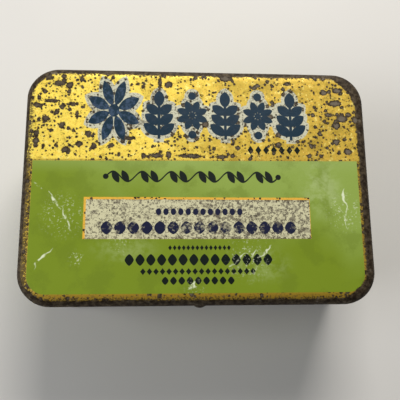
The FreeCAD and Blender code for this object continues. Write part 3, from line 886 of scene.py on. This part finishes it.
def printed_lid():
    """The lid's artwork, with pitted gold, scuffed green and an edge worn to brown steel."""
    s = Printed("printed_lid")
    x, y = on_print(s)
    # reach falls from the panel, over the bend (2.5 to -2.5) and down the skirt
    reach = -outline(s.x, s.y, HALF_LENGTH, HALF_WIDTH, CORNER) - (TOP - s.z)
    # painted highlight: the gold is painted brighter towards the left, and its pits less dusty
    # there
    painted_highlight_left = rise(x + (s.cloud - 0.5) * 34.0, 26.0, -24.0)

    field = higher(outline(x + 0.15, y, *FIELD_HALF, FIELD_CORNER), y - FIELD_TOP - x * 0.006)
    is_green = inside(field + s.ragged * 0.1)
    panel = bar(x, y, *PANEL)
    is_panel = inside(panel + s.ragged * 0.12)
    is_border = inside(bar(x, y, *PANEL_BORDER) + s.ragged * 0.12)
    ornament = pattern(s, frieze)
    is_outline = inside(ornament - 0.92 + s.ragged * 0.3)
    is_navy = inside(ornament + s.ragged * 0.12)
    is_black = inside(pattern(s, black_ornament) + s.ragged * 0.08)

    # the ground, the panel and the ornament, one over the other
    base = mix(is_green, lid_gold(s, y, painted_highlight_left), lid_green(s, x, y))
    border = mix(rise(s.fine, 0.5, 0.62) * 0.7, INK["cream_border"], INK["gold_dull"])
    base = mix(is_border, base, border)
    cream, is_panel_ink = lid_cream(s, x, y, panel)
    base = mix(is_panel, base, cream)
    base = mix(is_panel_ink, base, INK["navy_print"])
    tarnish = rise(s.fine + (s.patch - 0.5) * 0.3, 0.52, 0.60) * 0.8
    base = mix(is_outline, base, mix(tarnish, INK["silver"], INK["stain"]))
    on_star = rise(x, -12.0, -15.0)
    rubbed = rise(s.noise(1.3, 4.0, 0.7, shift=17.0), 0.46, 0.62) * (on_star * 0.8 + 0.1)
    base = mix(is_navy, base, mix(rubbed, INK["navy"], INK["navy_worn"]))
    base = mix(is_black, base, INK["black"])
    white = pattern(s, scratches) * is_green * (1.0 - is_panel)
    base = mix(white, base, INK["scuff"])

    # rust on the gold and along the panel's border
    pits = pattern(s, gold_pits)
    crowd = 0.2 + (s.cloud - 0.5) * 0.8
    pin_dots = inside(s.spots(0.42, crowd, shift=9.0, ragged=0.1), 0.03) * 0.8
    on_gold = (1.0 - is_green) * (1.0 - is_navy * 0.93)
    is_pit = inside(pits, 0.05) * on_gold
    border_pits = inside(s.spots(0.8, 0.7, shift=10.0) + s.ragged * 0.35, 0.05)
    is_pit = higher(is_pit, border_pits * is_border * (1.0 - is_panel), pin_dots * on_gold)

    # the worn edge, and the speckle beside it
    at_foot = rise(y, -24.5, -26.5)
    beside_green = rise(y, 6.5, 5.7)
    worn = worn_edge(s, x, y, reach, beside_green, at_foot)
    by_green = beside_green * on_gold
    at_side = by_green * (1.0 - at_foot) * (1.0 - is_border)
    crusted = rise(reach, 3.2, 1.0) * (0.16 - at_foot * 0.07) + at_side * 0.06
    near_edge = lower(rise(reach, 3.0, 1.6) + at_side, 1.0)
    speckled = rise(s.fine + crusted, 0.56, 0.64) * near_edge * on_gold
    bare = higher(is_pit, worn, speckled * 0.85)

    base = mix(by_green * (1.0 - is_border) * 0.8, base, INK["amber"])
    halo = inside(pits - 0.09, 0.07) * on_gold * 0.3
    base = mix(halo, base, INK["rust_dark"])
    dusty = inside(pits + 0.35, 0.15) * is_pit * (0.7 - painted_highlight_left * 0.45)
    steel = mix(dusty, pattern(s, rusty_steel, "Color"), INK["rust_grey"])
    return s.finish_print(mix(bare, base, steel), bare, on_gold * (1.0 - is_outline),
                          mix(white, s.ink_roughness(), 0.6), gloss=0.22)


def printed_body():
    """The side wall: a green band between gold ones, worn at the seam and by the skirt."""
    s = Printed("printed_body")
    gold = mix(rise(s.patch, 0.5, 0.66) * 0.5, s.gold(s.cloud), INK["olive"])
    green = mix(rise(s.cloud, 0.35, 0.65), INK["green"], INK["green_light"])
    green = mix(rise(s.patch, 0.5, 0.66) * 0.4, green, INK["green_deep"])
    from_middle = abs(s.z - BAND_Z)
    is_green = inside(from_middle - BAND_HALF + s.ragged * 0.12)
    is_line = inside(abs(from_middle - LINE_AT) - LINE_HALF + s.ragged * 0.08)
    base = mix(is_line, mix(is_green, gold, green), INK["navy"])

    crowd = 0.34 + (s.patch - 0.5) * 1.1 + (1.0 - is_green) * 0.12
    pits = lower(s.spots(2.5, crowd * 0.8, shift=1.0), s.spots(1.3, crowd, shift=2.0))
    pits = pits + s.ragged * 0.35
    is_pit = inside(pits, 0.05) * (1.0 - is_green * 0.6)
    pin_dots = inside(s.spots(0.42, 0.25, shift=9.0, ragged=0.1), 0.03) * 0.8 * (1.0 - is_green)
    on_corner = rise(outline(s.x, s.y, HALF_LENGTH - 10.0, HALF_WIDTH - 10.0, 0.5), 9.1, 11.5)
    low = rise(s.z + s.ragged * 3.0 + (s.patch - 0.5) * 4.0, 5.0, 3.6)
    high = rise(s.z + s.ragged * 2.0 + (s.patch - 0.5) * 4.0, 22.6, 24.2)
    rubbed = s.noise(2.0, 5.0, 0.75, shift=18.0, stretch=(0.5, 0.5, 1.6))
    rubbed = rise(rubbed, 0.64, 0.70) * 0.9 * (0.6 + 0.4 * on_corner)
    bare = higher(is_pit, pin_dots, low, high * 0.92, rubbed)
    base = mix(inside(pits - 0.12, 0.1) * 0.3, base, INK["rust_dark"])
    base = mix(bare, base, pattern(s, rusty_steel, "Color"))
    return s.finish_print(base, bare, 1.0 - is_green, s.ink_roughness(), gloss=0.3)


def bare_tinplate(name, tone, rust):
    """Dull tin with spangle, a grey bloom and freckles of rust."""
    s = Surface(name)
    light, dark = (colour(*(round(tone * part) for part in rgb))
                   for rgb in ((168, 164, 154), (120, 114, 103)))
    bloom = s.noise(4.0, 5.0, 0.65)
    grain = s.noise(0.9, 3.0, 0.6, shift=1.0, stretch=(0.25, 1.0, 1.0))
    base = mix(rise(bloom + (grain - 0.5) * 0.3, 0.38, 0.68), light, dark)
    crowd = rust + (s.noise(7.0, 2.0, shift=2.0) - 0.5) * 1.2
    pits = lower(s.spots(2.2, crowd, shift=5.0), s.spots(0.8, crowd + 0.1, shift=3.0))
    is_pit = inside(pits + (s.noise(0.7, 3.0, 0.7, shift=4.0) - 0.5) * 0.3, 0.06)
    base = mix(inside(pits - 0.25, 0.25) * 0.45, base, INK["rust_stain"])
    base = mix(is_pit, base, pattern(s, rusty_steel, "Color"))
    s.bump(grain * 0.4 + bloom * 0.3 - is_pit * 0.8, 0.04)
    return s.finish(base, mix(is_pit, 0.75, 0.2), mix(is_pit, 0.3 + 0.25 * bloom, 0.65))


def dull_metal(name, light, dark, metallic, rough, grain_size):
    """A small drawn or soldered part: fine grain, tarnish and a little rust in its hollows."""
    s = Surface(name)
    grain = s.noise(grain_size, 4.0, 0.65)
    tarnish = s.noise(2.4, 4.0, 0.65, shift=2.0)
    base = mix(rise(tarnish, 0.36, 0.66), light, dark)
    rust = rise(s.noise(1.0, 4.0, 0.7, shift=5.0) + (tarnish - 0.5) * 0.4, 0.55, 0.62)
    base = mix(rust * 0.85, base, pattern(s, rusty_steel, "Color"))
    s.bump(grain * 0.6 - rust * 0.5, 0.03)
    return s.finish(base, mix(rust, metallic, 0.2), mix(rust, rough + 0.15 * grain, 0.68))


def assign(material, word):
    """Give a material to every CAD node with a word in its name."""
    for node in (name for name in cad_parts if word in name):
        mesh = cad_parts[node].data
        mesh.materials.clear()
        mesh.materials.append(material)


def build_tin():
    print_on_lid, print_on_body = printed_lid(), printed_body()
    inside_metal = bare_tinplate("bare_tinplate", tone=1.0, rust=0.3)
    end_metal = bare_tinplate("end_tinplate", tone=0.86, rust=0.45)
    # the two materials are those of the sheet's left face and of its right face
    for node, body, slot, section, shape, filled, materials in (
            ("lid_shell", "lid", "printed_lid",
             lid_section(), lid_shape, True, (print_on_lid, inside_metal)),
            ("body_wall", "tin_body", "printed_body",
             body_section(), body_shape, False, (inside_metal, print_on_body)),
            ("bottom_end", "tin_body", "bare_tinplate",
             end_section(), end_shape, True, (inside_metal, end_metal))):
        piece = shell(node + "_sheet", section, shape, filled, materials)
        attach(piece, body)
        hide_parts(node)
    hinge = dull_metal("hinge_tinplate", colour(132, 124, 108), colour(92, 78, 60),
                       metallic=0.7, rough=0.42, grain_size=0.5)
    pin = dull_metal("pin_wire", colour(126, 120, 110), colour(84, 74, 60),
                     metallic=0.8, rough=0.38, grain_size=0.3)
    solder = dull_metal("solder", colour(168, 168, 164), colour(128, 126, 120),
                        metallic=0.65, rough=0.34, grain_size=0.8)
    assign(hinge, "leaf")
    assign(pin, "pin")
    assign(solder, "solder")


build_tin()


# ---------------------------------------------------------------- floor, camera and light
def aim(thing, place, look, up):
    """Put a camera or light at a place in millimetres, facing along look."""
    back = -Vector(look).normalized()
    right = Vector(up).cross(back).normalized()
    turn = Matrix((right, back.cross(right), back)).transposed()
    thing.matrix_world = Matrix.Translation(Vector(place) * MM) @ turn.to_4x4()


def add_camera():
    data = bpy.data.cameras.new("camera")
    data.lens = 46.8
    data.sensor_width = 36.0
    data.clip_start = 0.005
    camera = bpy.data.objects.new("camera", data)
    bpy.context.scene.collection.objects.link(camera)
    aim(camera, place=(-8.7, -30.1, TOP + 123.3), look=(0.0694, 0.2025, -0.9768),
        up=(-0.0040, 0.9792, 0.2027))
    bpy.context.scene.camera = camera


def add_light(name, place, size, power, tint):
    data = bpy.data.lights.new(name, "AREA")
    data.size = size * MM
    data.energy = power
    data.color = tint
    light = bpy.data.objects.new(name, data)
    bpy.context.scene.collection.objects.link(light)
    aim(light, place, -Vector(place), (0.0, 0.0, 1.0))


def add_floor():
    bpy.ops.mesh.primitive_plane_add(size=3.0)
    floor = bpy.context.object
    floor.name = "floor"
    s = Surface("pale_floor")
    tone = mix(s.noise(60.0, 3.0), colour(206, 203, 197), colour(214, 211, 206))
    floor.data.materials.append(s.finish(tone, 0.0, 0.8))


def add_world():
    world = bpy.data.worlds.new("studio")
    world.use_nodes = True
    background = world.node_tree.nodes["Background"]
    background.inputs["Color"].default_value = (0.75, 0.78, 0.82, 1.0)
    background.inputs["Strength"].default_value = 0.15
    bpy.context.scene.world = world
    bpy.context.scene.view_settings.view_transform = "Standard"


add_floor()
add_camera()
add_light("key", (70.0, 370.0, 320.0), size=260.0, power=2.75, tint=(1.0, 0.98, 0.95))
add_light("fill", (-330.0, -60.0, 260.0), size=260.0, power=0.9, tint=(0.95, 0.97, 1.0))
add_world()
